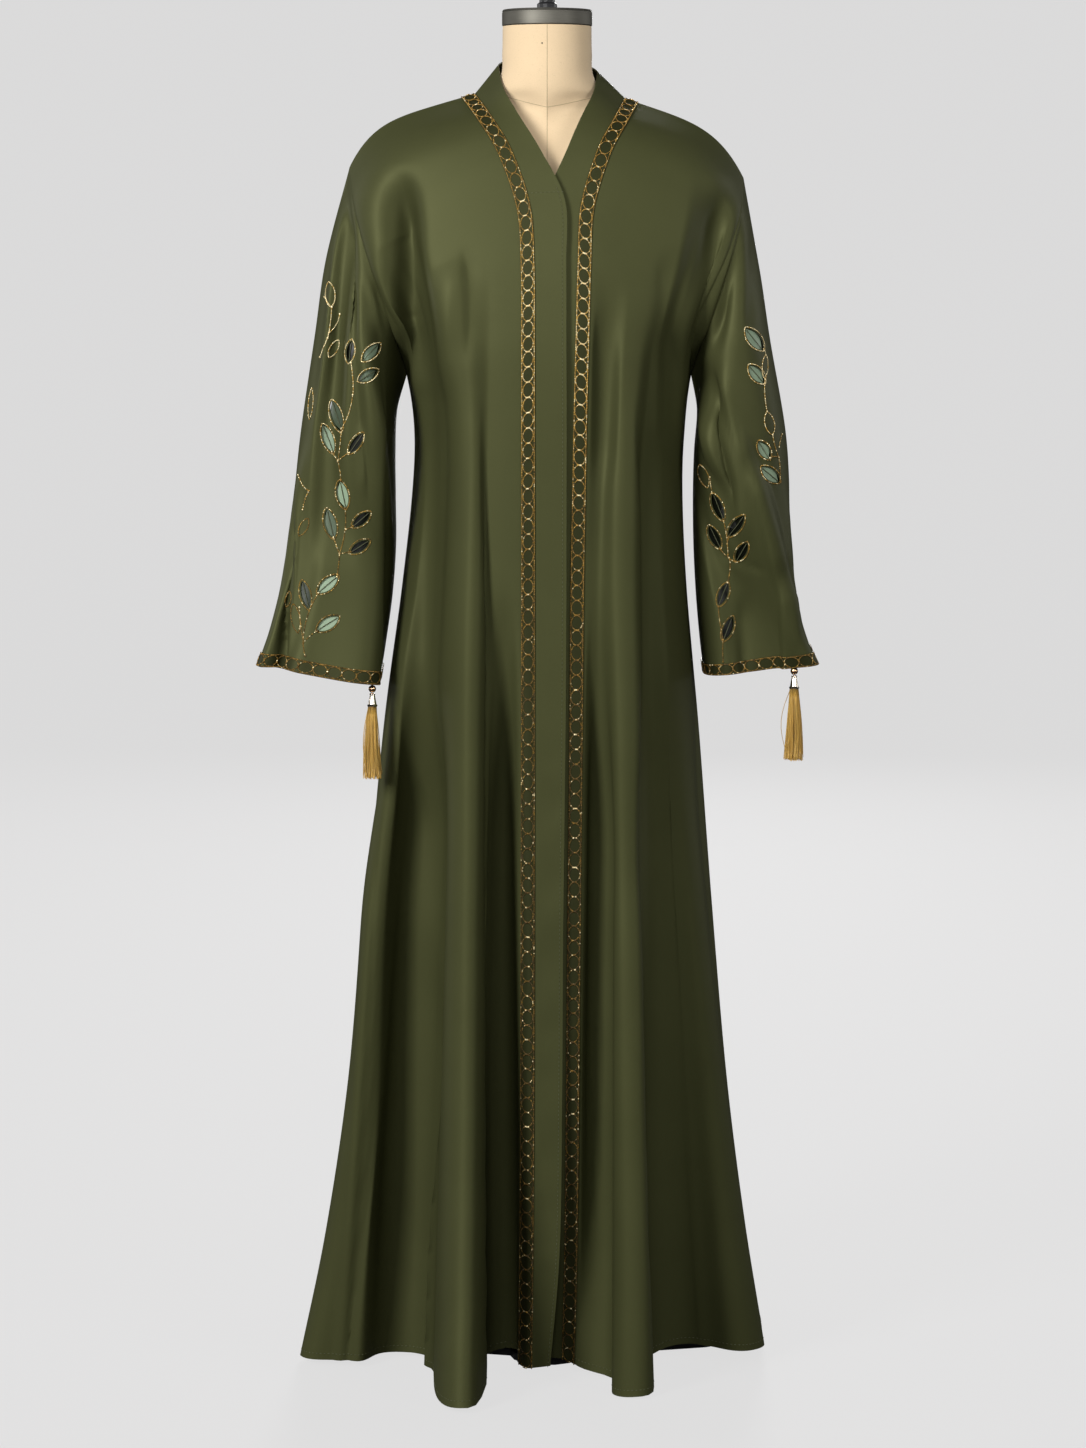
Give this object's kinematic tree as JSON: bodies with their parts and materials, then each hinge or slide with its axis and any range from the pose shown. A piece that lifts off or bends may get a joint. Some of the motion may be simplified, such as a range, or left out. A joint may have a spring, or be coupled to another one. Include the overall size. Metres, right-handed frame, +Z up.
{
  "type": "abaya cloak on a limbless dress form",
  "caption": "Floor-length open-front abaya with cutwork sleeves, beaded trims and cuff tassels, worn by a limbless linen dress form on a pole with a flat foot.",
  "frame": {"origin": "the middle of the foot's flat underside, on the floor under the pole", "axes": "+Z up along the pole, -Y the way the garment faces, +X to the right of a viewer in front"},
  "size_m": [0.6221, 0.5049, 1.5591],
  "materials": {
    "crepe": "olive satin-backed crepe with a soft sheen",
    "bead_trim": "dark net sewn with gold beads and sequins",
    "gold_bead": "polished",
    "tassel_cap": "pale gilt, polished",
    "gold_silk": "glossy silk strands",
    "linen": "cream linen, plain weave, dull",
    "steel": "brushed",
    "black_paint": "satin black"
  },
  "bodies": {
    "root": {"back": "crepe", "cuff_trim_left": "bead_trim", "cuff_trim_right": "bead_trim", "form_torso": "linen", "front_left": "crepe", "front_right": "crepe", "front_trim_left": "bead_trim", "front_trim_right": "bead_trim", "neck_cap": "steel", "neck_knob": "black_paint", "neckband": "crepe", "placket_left": "crepe", "placket_right": "crepe", "sleeve_left_back": "crepe", "sleeve_left_front": "crepe", "sleeve_right_back": "crepe", "sleeve_right_front": "crepe", "stand_base": "black_paint", "stand_pole": "steel", "tassel_left_bead": "gold_bead", "tassel_left_cap": "tassel_cap", "tassel_left_silk": "gold_silk", "tassel_right_bead": "gold_bead", "tassel_right_cap": "tassel_cap", "tassel_right_silk": "gold_silk"}
  },
  "joints": []
}
